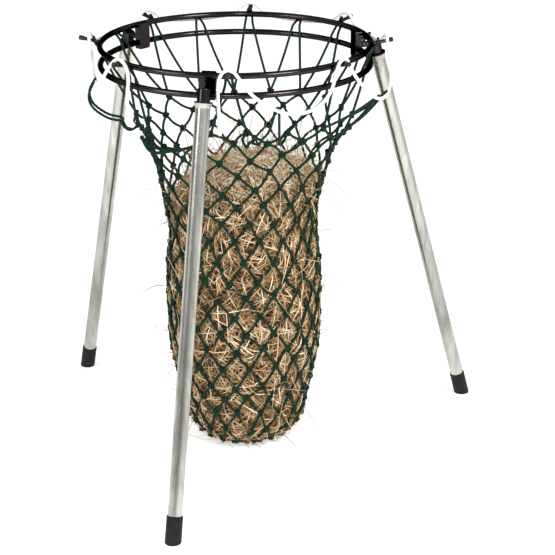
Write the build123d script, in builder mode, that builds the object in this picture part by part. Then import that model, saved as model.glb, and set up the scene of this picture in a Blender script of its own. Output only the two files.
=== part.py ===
"""A knotted hay net hung open, filled, on a three-legged filling stand.

Millimetres.  +Z is up and the origin is on the floor, under the axis of the
two hoops.  +X runs to the right and +Y away from the person filling the net,
who stands on the -Y side.
"""
from build123d import *
import os
from math import atan2, cos, degrees, hypot, pi, radians, sin, tan

os.makedirs("parts", exist_ok=True)

# ---------------------------------------------------------------- dimensions
# the two hoops
RING_RADIUS = 270.0          # to the middle of the bar
BAR = 12.0                   # hoop bar diameter
RING_TOP = 847.0             # height of the upper hoop's middle
RING_GAP = 38.0              # upper hoop to lower hoop, middle to middle
RING_LOW = RING_TOP - RING_GAP
RING_INSIDE = RING_RADIUS - BAR / 2

# the legs: azimuth of the leg at its top, azimuth and radius of its foot.
# The sockets are welded by hand, so the legs stand a few degrees off even.
LEGS = {
    "front": (259.6, 256.7, 522.0),
    "left": (139.5, 134.7, 515.0),
    "right": (18.8, 21.9, 531.0),
}
LEG_TOP_RADIUS = 304.5       # the leg axis at LEG_TOP_HEIGHT
LEG_TOP_HEIGHT = 800.0
LEG_LENGTH = 832.0           # from the floor to the tube's top end, along the axis
LEG_OD = 28.6
FLARE_OD = 34.0              # the tube's top end is opened out to this
FLARE_LENGTH = 9.0
LEG_WALL = 1.5
LEG_BORE = LEG_OD - 2 * LEG_WALL

# rubber foot caps
CAP_OD = 32.0
CAP_LENGTH = 53.0
CAP_WEB = 10.0               # rubber under the tube's end
CAP_ROUND = 2.0

# the stub that each leg pushes onto
STUB_OD = 25.0
STUB_WALL = 2.0
STUB_INSIDE_LEG = 60.0       # how far it reaches down the leg
STUB_TOP = 829.5             # height of the middle of its closed top
STUB_END = 3.0               # thickness of its closed top
STUB_ROUND = 2.0
ARM_OD = 12.0                # the bar between the hoops that carries the stub
ARM_HEIGHT = 822.5
COLLAR_OD = 35.0             # the stop collar that the leg's end comes up to
COLLAR_THICKNESS = 3.0
COLLAR_ROUND = 1.0
COLLAR_GAP = 0.4             # left between the collar and the leg's end

# the plate welded inside both hoops at each leg
PLATE_WIDTH = 29.0
PLATE_DEPTH = 13.0
PLATE_TOP = RING_TOP + 5.0
PLATE_BOTTOM = RING_LOW - 10.0
PLATE_ROUND = 3.0
PLATE_LET_IN = 1.0           # its outer face stands this far out past the bars' inside

# the eight pegs, welded on by eye a few degrees off an even 45
PEG_AZIMUTHS = (-3.0, 40.0, 85.0, 130.0, 177.0, 223.5, 268.5, 314.5)
PEG_OD = 7.2
PEG_TILT = 13.0              # degrees up from level
PEG_REACH = 42.0             # hoop middle to bare peg end
PEG_CAP_OD = 9.4
PEG_CAP_LENGTH = 11.0
PEG_CAP_BORE = 8.0
PEG_CAP_ROUND = 2.3

# the net and the hay in it
NET_SKIN = 6.0               # rope thickness, as a plain skin
BAG_X = 11.0                 # the bag hangs a little off the hoop axis
BAG_BOTTOM = 9.0
BAG_FLAT_RADIUS = 78.0
BAG_SIDE = (                 # radius and height up the side of the bag
    (112.0, 30.0),
    (133.0, 90.0),
    (156.0, 200.0),
    (161.0, 300.0),
    (160.0, 400.0),
    (152.0, 484.0),
    (158.0, 535.0),
)
NECK = (172.5, 585.0)        # where the bag ends and the mouth begins
HAY_CROWN = 614.0            # top of the hay, at its middle
HAY_RISE = 1.6               # slope at which the heap starts, rise over run
MOUTH = (                    # radius, height and offset along X of the mouth's two ends
    (NECK[0], NECK[1] + 0.5, BAG_X),
    (248.5, 845.0, 0.0),
)
MOUTH_STRIPS = 18            # flat strips round the mouth, one to each mesh of the net
STRIP_SHARE = 0.98           # of the way to the next strip that each one fills

# the white drawstring
CORD_OD = 7.0
KNOT_OD = 14.0
KNOT_LENGTH = 18.0
KNOT_ROUND = 3.0
CORNER_SHARE = 0.45          # how much of the shorter run each rounded corner may take
# azimuth (degrees), radius and height of each point of its route: up from its
# front knot, over the pegs in turn, hanging between them, to its left knot
CORD_ROUTE = (
    (264.9, 290.0, 757.0),
    (264.6, 290.0, 790.0),
    (264.5, 291.0, 822.0),
    (265.0, 294.5, 848.0),
    (266.9, 298.0, 864.0),
    (270.2, 298.0, 864.0),
    (272.6, 294.0, 846.0),
    (275.8, 290.0, 821.0),
    (280.3, 289.0, 800.0),
    (286.3, 288.0, 781.0),
    (293.0, 288.0, 770.0),
    (299.8, 288.5, 772.0),
    (305.6, 288.0, 783.0),
    (309.6, 289.0, 802.0),
    (311.4, 290.0, 826.0),
    (312.0, 293.5, 849.0),
    (313.0, 298.0, 864.0),
    (316.2, 298.0, 864.0),
    (317.9, 297.0, 847.0),
    (321.2, 298.0, 823.0),
    (325.8, 300.5, 799.0),
    (330.4, 303.5, 777.0),
    (335.8, 308.0, 763.0),
    (341.6, 311.0, 760.0),
    (346.6, 313.5, 772.0),
    (349.4, 313.0, 797.0),
    (350.4, 310.0, 826.0),
    (351.8, 305.0, 850.0),
    (355.1, 301.0, 865.0),
    (358.9, 299.0, 865.0),
    (1.4, 295.0, 854.5),
    (4.8, 290.5, 843.0),
    (10.5, 288.5, 839.5),
    (18.5, 288.0, 838.8),
    (26.5, 288.5, 839.5),
    (32.2, 290.5, 843.0),
    (35.6, 295.0, 854.5),
    (38.2, 298.0, 865.0),
    (41.8, 298.0, 865.0),
    (44.3, 294.5, 854.0),
    (47.4, 290.0, 842.0),
    (53.5, 288.0, 837.0),
    (62.5, 288.0, 835.0),
    (71.5, 288.0, 837.0),
    (77.6, 290.0, 842.0),
    (80.7, 294.5, 854.0),
    (83.2, 298.0, 865.0),
    (86.8, 298.0, 865.0),
    (89.3, 294.5, 854.0),
    (92.4, 290.0, 842.0),
    (98.5, 288.0, 837.0),
    (107.5, 288.0, 835.0),
    (116.5, 288.0, 837.0),
    (122.6, 290.0, 842.0),
    (125.7, 294.5, 854.0),
    (128.2, 298.0, 865.0),
    (131.8, 298.0, 865.0),
    (134.4, 294.5, 854.5),
    (137.9, 290.5, 843.0),
    (144.5, 288.5, 839.0),
    (153.5, 288.0, 836.5),
    (162.5, 288.5, 838.0),
    (169.2, 290.0, 843.5),
    (172.6, 292.0, 855.0),
    (175.3, 293.0, 865.0),
    (178.7, 293.0, 865.0),
    (181.6, 290.5, 849.0),
    (184.6, 286.0, 830.0),
    (188.6, 285.0, 813.0),
    (193.6, 286.5, 799.5),
    (199.6, 288.5, 793.0),
    (205.4, 290.0, 798.0),
    (209.8, 292.0, 813.0),
    (214.0, 294.0, 832.0),
    (218.2, 296.0, 851.0),
    (221.9, 298.0, 864.0),
    (225.2, 298.0, 864.0),
    (227.2, 294.5, 847.0),
    (226.9, 291.0, 822.0),
    (225.6, 290.0, 797.0),
    (225.4, 290.0, 773.0),
    (226.6, 290.0, 753.0),
)


# ------------------------------------------------------------------ helpers
def polar(azimuth, radius, height):
    """A point from its azimuth in degrees, radius and height."""
    return Vector(radius * cos(radians(azimuth)), radius * sin(radians(azimuth)), height)


def outward_plane(azimuth, radius, height):
    """A plane that faces out from the hoop axis, with its own Y up."""
    normal = polar(azimuth, 1, 0)
    return Plane(origin=polar(azimuth, radius, height), x_dir=normal.cross(Vector(0, 0, 1)) * -1,
                 z_dir=normal)


def save(piece, name):
    """Label a finished piece and write it to its own STEP file."""
    piece.part.label = name
    export_step(piece.part, f"parts/{name}.step")


class LegLine:
    """The axis of one leg, from the foot on the floor up through the stub."""

    def __init__(self, top_azimuth, foot_azimuth, foot_radius):
        self.foot = polar(foot_azimuth, foot_radius, 0)
        top = polar(top_azimuth, LEG_TOP_RADIUS, LEG_TOP_HEIGHT)
        self.up = (top - self.foot).normalized()

    def at(self, distance):
        """The point this far up the axis from the floor."""
        return self.foot + self.up * distance

    def plane(self, distance):
        """The plane square to the axis this far up it."""
        return Plane(origin=self.at(distance), z_dir=self.up)

    def at_height(self, height):
        """The point of the axis at this height."""
        return self.at(height / self.up.Z)


LINES = {name: LegLine(*places) for name, places in LEGS.items()}


# -------------------------------------------------------------------- hoops
def make_ring(height):
    """One hoop of round bar."""
    with BuildPart() as ring:
        with BuildSketch(Plane.XZ):
            with Locations((RING_RADIUS, height)):
                Circle(BAR / 2)
        revolve(axis=Axis.Z)
    return ring


upper_ring = make_ring(RING_TOP)
save(upper_ring, "upper_ring")
lower_ring = make_ring(RING_LOW)
save(lower_ring, "lower_ring")


# ------------------------------------------------- leg plates, stubs, collars
def make_plate(azimuth):
    """The plate inside both hoops, its outer face let in to fit round the bars."""
    with BuildPart() as plate:
        middle = (PLATE_TOP + PLATE_BOTTOM) / 2
        with BuildSketch(outward_plane(azimuth, RING_INSIDE - PLATE_DEPTH, middle)):
            Rectangle(PLATE_WIDTH, PLATE_TOP - PLATE_BOTTOM)
        extrude(amount=PLATE_DEPTH + PLATE_LET_IN)
        across = Axis((0, 0, 0), polar(azimuth, 1, 0))
        fillet(plate.edges().filter_by(across), PLATE_ROUND)
        add(upper_ring.part, mode=Mode.SUBTRACT)
        add(lower_ring.part, mode=Mode.SUBTRACT)
    return plate


def make_stub(line, azimuth, plate):
    """The tube that the leg pushes onto, closed on top, with the bar that carries it."""
    foot_end = LEG_LENGTH - STUB_INSIDE_LEG
    length = STUB_TOP / line.up.Z - foot_end
    arm_end = line.at_height(ARM_HEIGHT)
    with BuildPart() as stub:
        with BuildSketch(line.plane(foot_end)):
            Circle(STUB_OD / 2)
        extrude(amount=length)
        top_rim = stub.edges().sort_by(Axis.Z)[-1]
        fillet(top_rim, STUB_ROUND)
        with BuildSketch(outward_plane(azimuth, RING_INSIDE, ARM_HEIGHT)):
            Circle(ARM_OD / 2)
        extrude(amount=hypot(arm_end.X, arm_end.Y) - RING_INSIDE)
        with BuildSketch(line.plane(foot_end)):
            Circle(STUB_OD / 2 - STUB_WALL)
        extrude(amount=length - STUB_END, mode=Mode.SUBTRACT)
        add(plate.part, mode=Mode.SUBTRACT)
    return stub


def make_collar(line, stub_radius):
    """The thin collar on the stub that the end of the leg comes up to."""
    with BuildPart() as collar:
        with BuildSketch(line.plane(LEG_LENGTH + COLLAR_GAP)):
            Circle(COLLAR_OD / 2)
            Circle(stub_radius, mode=Mode.SUBTRACT)
        extrude(amount=COLLAR_THICKNESS)
        outer_rims = collar.edges().filter_by(GeomType.CIRCLE).sort_by(SortBy.LENGTH)[-2:]
        fillet(outer_rims, COLLAR_ROUND)
    return collar


for leg_name, leg_line in LINES.items():
    joint_point = leg_line.at_height(ARM_HEIGHT)
    joint_azimuth = degrees(atan2(joint_point.Y, joint_point.X))
    leg_plate = make_plate(joint_azimuth)
    save(leg_plate, f"leg_plate_{leg_name}")
    save(make_stub(leg_line, joint_azimuth, leg_plate), f"leg_stub_{leg_name}")
    save(make_collar(leg_line, STUB_OD / 2), f"stop_collar_{leg_name}")


# --------------------------------------------------------------------- pegs
def peg_plane(azimuth, distance):
    """The plane square to a peg, this far along it from the hoop's middle."""
    rise = radians(PEG_TILT)
    along = polar(azimuth, cos(rise), sin(rise))
    return Plane(origin=polar(azimuth, RING_RADIUS, RING_TOP) + along * distance, z_dir=along)


def make_peg(azimuth):
    """A round peg, its root cut to the hoop bar that it is welded to."""
    with BuildPart() as peg:
        with BuildSketch(peg_plane(azimuth, 0)):
            Circle(PEG_OD / 2)
        extrude(amount=PEG_REACH)
        add(upper_ring.part, mode=Mode.SUBTRACT)
    return peg


def make_peg_cap(azimuth):
    """The soft cap pushed over the end of a peg."""
    with BuildPart() as cap:
        with BuildSketch(peg_plane(azimuth, PEG_REACH - PEG_CAP_BORE)):
            Circle(PEG_CAP_OD / 2)
        extrude(amount=PEG_CAP_LENGTH)
        root = peg_plane(azimuth, 0)
        end_rim = cap.edges().sort_by(Axis(root.origin, root.z_dir))[-1]
        fillet(end_rim, PEG_CAP_ROUND)
        with BuildSketch(peg_plane(azimuth, PEG_REACH - PEG_CAP_BORE)):
            Circle(PEG_OD / 2)
        extrude(amount=PEG_CAP_BORE, mode=Mode.SUBTRACT)
    return cap


for number, peg_azimuth in enumerate(PEG_AZIMUTHS, start=1):
    save(make_peg(peg_azimuth), f"peg_{number}")
    save(make_peg_cap(peg_azimuth), f"peg_cap_{number}")


# --------------------------------------------------------------------- legs
def make_leg_tube(line):
    """One galvanised tube leg, flared at the top."""
    with BuildPart() as tube:
        with BuildSketch(line.plane(CAP_WEB)):
            Circle(LEG_OD / 2)
        extrude(amount=LEG_LENGTH - CAP_WEB)
        with BuildSketch(line.plane(LEG_LENGTH - FLARE_LENGTH)):
            Circle(LEG_OD / 2)
        with BuildSketch(line.plane(LEG_LENGTH)):
            Circle(FLARE_OD / 2)
        loft()
        with BuildSketch(line.plane(CAP_WEB)):
            Circle(LEG_BORE / 2)
        extrude(amount=LEG_LENGTH - CAP_WEB, mode=Mode.SUBTRACT)
    return tube


def make_foot_cap(line):
    """The rubber cap on the leg, worn flat where it stands on the floor."""
    with BuildPart() as cap:
        with BuildSketch(line.plane(-CAP_WEB)):
            Circle(CAP_OD / 2)
        extrude(amount=CAP_WEB + CAP_LENGTH)
        top_rim = cap.edges().sort_by(Axis.Z)[-1]
        fillet(top_rim, CAP_ROUND / 2)
        with BuildSketch(line.plane(CAP_WEB)):
            Circle(LEG_OD / 2)
        extrude(amount=CAP_LENGTH, mode=Mode.SUBTRACT)
        split(bisect_by=Plane.XY, keep=Keep.TOP)
        floor_edge = cap.edges().group_by(Axis.Z)[0]
        fillet(floor_edge, CAP_ROUND)
    return cap


for leg_name, leg_line in LINES.items():
    save(make_leg_tube(leg_line), f"leg_tube_{leg_name}")
    save(make_foot_cap(leg_line), f"foot_cap_{leg_name}")


# -------------------------------------------------------------- net and hay
BAG_PLANE = Plane(origin=(BAG_X, 0, 0), x_dir=(1, 0, 0), z_dir=(0, -1, 0))
BAG_AXIS = Axis((BAG_X, 0, 0), (0, 0, 1))


def bag_outline(inset):
    """Points up the side of the bag, this far inside its outside."""
    corner = (BAG_FLAT_RADIUS - inset, BAG_BOTTOM + inset)
    side = [(radius - inset, height) for radius, height in BAG_SIDE]
    return [corner, *side, (NECK[0] - inset, NECK[1])]


def make_hay():
    """The hay that fills the net, heaped into a dome at the top."""
    outline = bag_outline(NET_SKIN)[:-1]
    shoulder = outline[-1]
    crown = (0, HAY_CROWN)
    with BuildPart() as hay:
        with BuildSketch(BAG_PLANE):
            with BuildLine():
                Line((0, outline[0][1]), outline[0])
                Spline(*outline)
                Spline(shoulder, crown, tangents=((-1, HAY_RISE), (-1, 0)))
                Line(crown, (0, outline[0][1]))
            make_face()
        revolve(axis=BAG_AXIS)
    return hay


def make_bag():
    """The net's bag as a plain skin round the hay, open at the neck."""
    outside = bag_outline(0)
    inside = bag_outline(NET_SKIN)
    with BuildPart() as bag:
        with BuildSketch(BAG_PLANE):
            with BuildLine():
                Line((0, outside[0][1]), outside[0])
                Spline(*outside)
                Line(outside[-1], inside[-1])
                Spline(*inside)
                Line(inside[0], (0, inside[0][1]))
                Line((0, inside[0][1]), (0, outside[0][1]))
            make_face()
        revolve(axis=BAG_AXIS)
    return bag


def strip_corners(strip, radius, offset_x):
    """The four corners of one strip of the mouth, where it ends at this radius."""
    corners = []
    edges = (strip, strip + STRIP_SHARE)
    for reach, edge_order in ((radius, edges), (radius - NET_SKIN, edges[::-1])):
        for edge in edge_order:
            azimuth = radians(edge * 360 / MOUTH_STRIPS)
            corners.append((offset_x + reach * cos(azimuth), reach * sin(azimuth)))
    return corners


def make_mouth():
    """The open net above the hay: flat strips that spread from the neck to the hoops."""
    with BuildPart() as mouth:
        for strip in range(MOUTH_STRIPS):
            for radius, height, offset_x in MOUTH:
                with BuildSketch(Plane.XY.offset(height)):
                    Polygon(*strip_corners(strip, radius, offset_x), align=None)
            loft(ruled=True)
    return mouth


save(make_hay(), "hay_fill")
save(make_bag(), "net_bag")
save(make_mouth(), "net_mouth")


# --------------------------------------------------------------- drawstring
def corner_radii(points):
    """The radius at each corner whose arc takes its share of the shorter run."""
    radii = []
    for before, here, after in zip(points, points[1:], points[2:]):
        run_in = here - before
        run_out = after - here
        turn = radians(run_in.get_angle(run_out))
        radii.append(CORNER_SHARE * min(run_in.length, run_out.length) / tan(turn / 2))
    return radii


def make_cord(points):
    """The drawstring as one tube of straight runs joined by tangent arcs."""
    with BuildPart() as cord:
        with BuildLine() as route:
            FilletPolyline(*points, radius=corner_radii(points))
        with BuildSketch(Plane(origin=route.line @ 0, z_dir=route.line % 0)):
            Circle(CORD_OD / 2)
        sweep(path=route.line)
    return cord, route.wires()[0]


def make_knot(end_point, direction):
    """The stopper knot on an end of the drawstring, as a plain rounded barrel."""
    with BuildPart() as knot:
        with BuildSketch(Plane(origin=end_point, z_dir=direction)):
            Circle(KNOT_OD / 2)
        extrude(amount=KNOT_LENGTH)
        rims = knot.edges().filter_by(GeomType.CIRCLE)
        fillet(rims, KNOT_ROUND)
    return knot


cord_points = [polar(*place) for place in CORD_ROUTE]
drawstring, cord_line = make_cord(cord_points)
save(drawstring, "drawstring")
save(make_knot(cord_line @ 0, (cord_line % 0) * -1), "drawstring_knot_front")
save(make_knot(cord_line @ 1, cord_line % 1), "drawstring_knot_left")

print("cord length", round(cord_line.length, 1))
section = pi * (CORD_OD / 2) ** 2
fullness = drawstring.part.volume / (section * cord_line.length)
print("cord volume over section times length", round(fullness, 4))
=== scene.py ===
"""Looks for a knotted hay net hung open, filled with hay, on a three-legged filling stand.

Metres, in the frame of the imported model: +Z up, the floor at Z = 0, the hoops' axis at X = Y = 0.
"""
from math import atan2, cos, degrees, hypot, pi, radians, sin

import bpy
import numpy as np
from mathutils import Matrix, Vector, kdtree, noise


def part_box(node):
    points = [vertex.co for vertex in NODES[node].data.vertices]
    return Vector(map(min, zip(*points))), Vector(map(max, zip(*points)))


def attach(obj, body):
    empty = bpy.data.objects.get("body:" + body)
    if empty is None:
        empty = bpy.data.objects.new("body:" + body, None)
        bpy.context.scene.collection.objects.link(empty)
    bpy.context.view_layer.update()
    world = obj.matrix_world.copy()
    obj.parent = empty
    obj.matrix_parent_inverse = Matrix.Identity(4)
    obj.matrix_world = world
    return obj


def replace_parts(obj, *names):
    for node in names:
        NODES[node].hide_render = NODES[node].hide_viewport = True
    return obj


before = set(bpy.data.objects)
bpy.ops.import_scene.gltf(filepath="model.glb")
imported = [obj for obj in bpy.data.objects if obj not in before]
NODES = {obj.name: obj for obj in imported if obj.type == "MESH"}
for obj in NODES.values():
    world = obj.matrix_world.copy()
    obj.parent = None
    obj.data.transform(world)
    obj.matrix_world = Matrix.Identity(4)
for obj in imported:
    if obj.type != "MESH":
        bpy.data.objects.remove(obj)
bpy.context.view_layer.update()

# ------------ camera
CAMERA_PLACE = (0.0810, -3.7196, 1.7132)
CAMERA_DOWN = 20.15     # degrees below level, looking along +Y
CAMERA_ROLL = -0.34     # degrees
CAMERA_LENS = 123.3     # mm on a 36 mm wide sensor

# ------------ light and floor
WORLD_GLOW = 0.85       # of the surround, as the object sees it
WORLD_BANDS = (         # how bright the surround is from the left (0) to the right (1)
    (0.0, 0.16), (0.08, 0.80), (0.20, 0.95), (0.32, 0.38), (0.55, 0.42), (0.78, 1.0), (0.94, 0.9),
    (1.0, 0.45),
)
FLOOR_GLOW = 0.50
FLOOR_REACH = 9.0       # each way from the middle
# each softbox's name, place, target, size and power in watts
SOFTBOXES = (
    ("key", (1.9, -2.3, 2.6), (0, 0, 0.5), 1.1, 85),
    ("fill", (-2.6, -1.8, 2.0), (0, 0, 0.5), 1.3, 36),
    ("front", (-0.25, -3.5, 2.5), (0, 0, 0.7), 0.6, 34),
)

# ------------ drawstring
CORD_DIAMETER = 0.007
BRAID_DEPTH = 0.0004    # how far the plaits stand out
BRAID_STEP = 0.0014     # between rings of the cord's mesh
BRAID_SIDES = 16
PLAITS = 4              # each way round the cord
PLAIT_LENGTH = 0.009    # cord length for one turn of its plaits
STOPPER_SIZE = 0.0017   # scale of a stopper knot's line
STOPPER_SEGMENTS = 48
STOPPER_DEPTH = 1.6
STOPPER_STRETCH = 1.15  # along the cord
STOPPER_SQUEEZE = 0.85  # and across it
STOPPER_STRAND = 0.0031  # radius of the cord in the knot
STOPPER_SIDES = 10
STOPPER_OUT = 0.008     # from the cord's end to the knot's middle
TAIL_PLACES = (0.002, 0.008, 0.0115)  # out from the knot's middle
TAIL_STEP = 0.0012
TAIL_RADIUS = 0.0030
TAIL_RIPPLE = 0.0002
END_POINTS = 6          # of the cord's line, that give its end's direction
# azimuth (degrees), radius and height of each point, as in the CAD
CORD_ROUTE = (
    (264.9, 0.29, 0.757), (264.6, 0.29, 0.79), (264.5, 0.291, 0.822),
    (265.0, 0.2945, 0.848), (266.9, 0.298, 0.864), (270.2, 0.298, 0.864),
    (272.6, 0.294, 0.846), (275.8, 0.29, 0.821), (280.3, 0.289, 0.8),
    (286.3, 0.288, 0.781), (293.0, 0.288, 0.77), (299.8, 0.2885, 0.772),
    (305.6, 0.288, 0.783), (309.6, 0.289, 0.802), (311.4, 0.29, 0.826),
    (312.0, 0.2935, 0.849), (313.0, 0.298, 0.864), (316.2, 0.298, 0.864),
    (317.9, 0.297, 0.847), (321.2, 0.298, 0.823), (325.8, 0.3005, 0.799),
    (330.4, 0.3035, 0.777), (335.8, 0.308, 0.763), (341.6, 0.311, 0.76),
    (346.6, 0.3135, 0.772), (349.4, 0.313, 0.797), (350.4, 0.31, 0.826),
    (351.8, 0.305, 0.85), (355.1, 0.301, 0.865), (358.9, 0.299, 0.865),
    (1.4, 0.295, 0.8545), (4.8, 0.2905, 0.843), (10.5, 0.2885, 0.8395),
    (18.5, 0.288, 0.8388), (26.5, 0.2885, 0.8395), (32.2, 0.2905, 0.843),
    (35.6, 0.295, 0.8545), (38.2, 0.298, 0.865), (41.8, 0.298, 0.865),
    (44.3, 0.2945, 0.854), (47.4, 0.29, 0.842), (53.5, 0.288, 0.837),
    (62.5, 0.288, 0.835), (71.5, 0.288, 0.837), (77.6, 0.29, 0.842),
    (80.7, 0.2945, 0.854), (83.2, 0.298, 0.865), (86.8, 0.298, 0.865),
    (89.3, 0.2945, 0.854), (92.4, 0.29, 0.842), (98.5, 0.288, 0.837),
    (107.5, 0.288, 0.835), (116.5, 0.288, 0.837), (122.6, 0.29, 0.842),
    (125.7, 0.2945, 0.854), (128.2, 0.298, 0.865), (131.8, 0.298, 0.865),
    (134.4, 0.2945, 0.8545), (137.9, 0.2905, 0.843), (144.5, 0.2885, 0.839),
    (153.5, 0.288, 0.8365), (162.5, 0.2885, 0.838), (169.2, 0.29, 0.8435),
    (172.6, 0.292, 0.855), (175.3, 0.293, 0.865), (178.7, 0.293, 0.865),
    (181.6, 0.2905, 0.849), (184.6, 0.286, 0.83), (188.6, 0.285, 0.813),
    (193.6, 0.2865, 0.7995), (199.6, 0.2885, 0.793), (205.4, 0.29, 0.798),
    (209.8, 0.292, 0.813), (214.0, 0.294, 0.832), (218.2, 0.296, 0.851),
    (221.9, 0.298, 0.864), (225.2, 0.298, 0.864), (227.2, 0.2945, 0.847),
    (226.9, 0.291, 0.822), (225.6, 0.29, 0.797), (225.4, 0.29, 0.773),
    (226.6, 0.29, 0.753),
)

# ------------ net
MESHES_ROUND = 18
ROPE = 0.0056           # rope diameter
ROPE_SIDES = 9
ROPE_STEP = 0.0030      # between rings of the rope's mesh
PATH_PARTS = 6          # of a smooth line, between two of its points
STRANDS = 3
STRAND_DEPTH = 0.14     # how deep the grooves between strands are, over the radius
LAY_LENGTH = 0.026      # rope length for one turn of its strands
BAR_IN_BAG = 0.0465     # knot to knot
BAR_IN_MOUTH = 0.0505
BAR_CHANGE = (0.52, 0.60)  # heights between which the bars lengthen
BAR_BULGE = 0.0012      # how far a bar's middle stands out
BAG_SLACK = 0.0009      # how far, about, it is off the straight way in the bag
MOUTH_SLACK = 0.0022    # and in the mouth
ROPE_SEED = 8
LEAST_STEP = 0.4        # rows of knots are at least this share of a bar apart
KNOT_SIZE = 0.0018      # scale of a net knot's line
KNOT_DEPTH = 1.5
KNOT_SEGMENTS = 30
KNOT_SIDES = 6
TOP_ROW_HEIGHT = 0.727
TOP_ROW_TILT = 0.022    # higher at the front by this much, lower at the back
TILT_FROM = 0.30        # height where the rows start to tilt
BOTTOM_ROW_RADIUS = 0.052
BOTTOM_RING_RADIUS = 0.020  # of the ring of rope that gathers the bag's meshes
BOTTOM_RING_STEP = 10   # degrees
BOTTOM_RING_SIDES = 8
BOTTOM_END_TURN = 10    # degrees each side of its knot, where an end meets the ring
NET_TURN = 3.0          # degrees, turns the knots round the bag
KNOT_SEED = 5
KNOT_ROPE = 1.06        # of the rope's thickness, how thick it looks in a knot
KNOT_WANDER = 0.007     # how unevenly the knots sit, up the net
KNOT_TURN = 2.6         # and round it, in degrees
BAR_PULL = 0.94         # the bars' length over that first laid out: they are taut
HELD_BELOW = 0.50       # knots lower than this stay as laid out
HANG_STEPS = 900
HANG_FALL = 0.00012     # how far the free points fall in the first step, then less and less
HANG_SHORTEST = 0.93    # of a link's length, where it starts to push back
HANG_PUSH = 0.5         # how hard it does
HANG_EASE = 0.95        # how much of each move is made in a step
LOOP_PARTS = 9          # links in each strand of a top loop
LOOP_SPREAD = 1.7       # degrees each side of its hold, where a loop passes the hoops
GATE_IN = 0.002         # how far inside the hoops' bars that is
HOOP_RADIUS = 0.270     # to the middle of the bar, as in the CAD
HOOP_TOP = 0.847
HOOP_GAP = 0.038        # between the two hoops
PEG_OUT = 0.284         # where a loop sits on a peg
PEG_TOP = 0.8558        # height of the top of the peg there
# a loop's points each side of its hold: degrees from it, then how far out and up from the
# hoop's middle or the cord's
OVER_PEG = (0.95, 0.012, 0.002)
OVER_CORD = (0.8, -0.006, 0.0015)
DROPPED = (214.0, 0.224, 0.688)  # where the loops that are off the pegs have slid to
DROP_STEP = 0.002       # how much lower each lies, a degree further round
DROP_BEND = ((0.004, -0.002, 0.004), (0.004, -0.002, -0.004))  # each side of its lowest point
# the way of the slack loop that hangs outside, from the drawstring down to the net
OUTSIDE = ((199.0, 0.3040, 0.7700), (198.0, 0.2960, 0.7420), (198.5, 0.2680, 0.7190),
           (199.5, 0.2420, 0.7110))
OUTSIDE_DOWN = 0.8      # degrees round from that way, for one strand of it
OUTSIDE_BACK = (-1.2, -0.004, 0.005)  # degrees, out and up from it, for the other
# what holds each top loop, counted round from the right; the azimuth of its hold, or how far
# round from the first a dropped one lies; and its strands' length over the straight way
LOOP_HOLDS = (
    ("peg", -3.0, 1.0), ("cord", 18.5, 1.0), ("peg", 40.0, 1.0), ("cord", 62.5, 1.0),
    ("peg", 85.0, 1.0), ("cord", 107.5, 1.01), ("peg", 130.0, 1.0), ("cord", 152.0, 1.0),
    ("peg", 177.0, 1.0), ("outside", 199.2, 1.03), ("peg", 223.5, 1.0), ("dropped", 0.0, 1.02),
    ("dropped", 2.0, 1.04), ("peg", 268.5, 1.0), ("cord", 287.0, 1.75), ("peg", 314.5, 1.0),
    ("cord", 336.0, 0.80), ("cord", 343.0, 0.84),
)

# ------------ hay
HAY_SEED = 11
HAY_ROUND = 200         # points round the hay's surface
HAY_RISE = 130          # points up it
HAY_SHOULDER = 0.535    # height where the hay leaves the net, as in the CAD
HAY_PILLOW = 0.0022     # how far the hay swells out between ropes
HAY_PINCH = 0.0060      # how far the ropes press in
HAY_GAP = 0.017         # how far from a rope the hay is at its fullest
HAY_ROUNDING = 0.8      # power: under 1, the pillows are flat on top
BAG_LUMPS = (0.0035, 55)  # height of the hay's lumps in the bag, and how many to a metre
HEAP_LUMPS = (0.016, 19)  # and over it
CORE_DEPTH = 0.016      # from the loose straws' surface in to the solid core
CORE_SHARE = 0.85       # of that depth, how much is under the smooth shape
HAY_LEAN = 0.14         # slope of the heap, up to the right
LEAN_RISE = 0.1         # how far below the shoulder the slope sets in
BAG_RADIUS = 0.155      # about, for the bend of the straws round it
STRAW_PIECES = 4        # mesh objects that the straws are dealt out to
STRAWS = 21000          # that lie along the hay
STRAW_LENGTH = (4.0, 0.012)  # shape and scale of a gamma spread: 48 mm on average
STRAW_WIDTH = (0.0010, 0.0028)
STRAW_BEND = 0.16
STRAW_LIFT = 0.04       # how much, about, its end lifts off or digs in, over its length
STRAW_BEHIND = 0.45     # share of it that is behind its starting place
DEEP_SHADE_TONE = -0.04       # tone of the deepest straws: painted shade deep in the pile
DEPTH_SHADE_LIFT = 0.76       # how much paler the outermost are: painted shade that darkens straws deeper in the pile
TONE_SPREAD = 0.22
CROWN_PAINTED_LIGHT = 0.5        # how much paler the straws are at the heap's top: painted light from above
CROSSING_SHARE = 0.02   # of straws that lie over the ropes
CROSSING_OUT = 0.6      # how far out these are, in ropes' thicknesses
STRAYS = 1100           # that stick out
STRAY_LENGTH = (2.5, 0.022)  # shape and scale again: 55 mm on average
STRAY_WIDTH = (0.0010, 0.0018)
STRAY_OUT = (0.2, 1.3)  # how steeply it starts out
STRAY_LIFT = (-0.3, 0.3)
STRAY_TONE = (0.3, 0.85)
STRAY_BEND = 3          # times as bent as a straw that lies
STRAY_BEHIND = 0.2
CROWN_STRAYS = 9.0      # how many times thicker they stand on the heap's top
LONG_STRAYS = 70        # of them
LONG_OUT = (0.5, 1.5)   # how much more steeply these start out
LONG_LENGTH = (0.07, 0.14)
LONG_WIDTH = 0.0017
LONG_TONE = (0.2, 0.55)
FLOOR_CLEAR = 0.002     # no straw comes lower than this


# ------------ helpers
def polar(azimuth, radius, height):
    """A point from its azimuth in degrees, radius and height."""
    return np.array((radius * cos(radians(azimuth)), radius * sin(radians(azimuth)), height))


def unit(v):
    """v, or each row of v, scaled to length 1."""
    return v / np.maximum(np.linalg.norm(v, axis=-1, keepdims=True), 1e-12)


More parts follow.
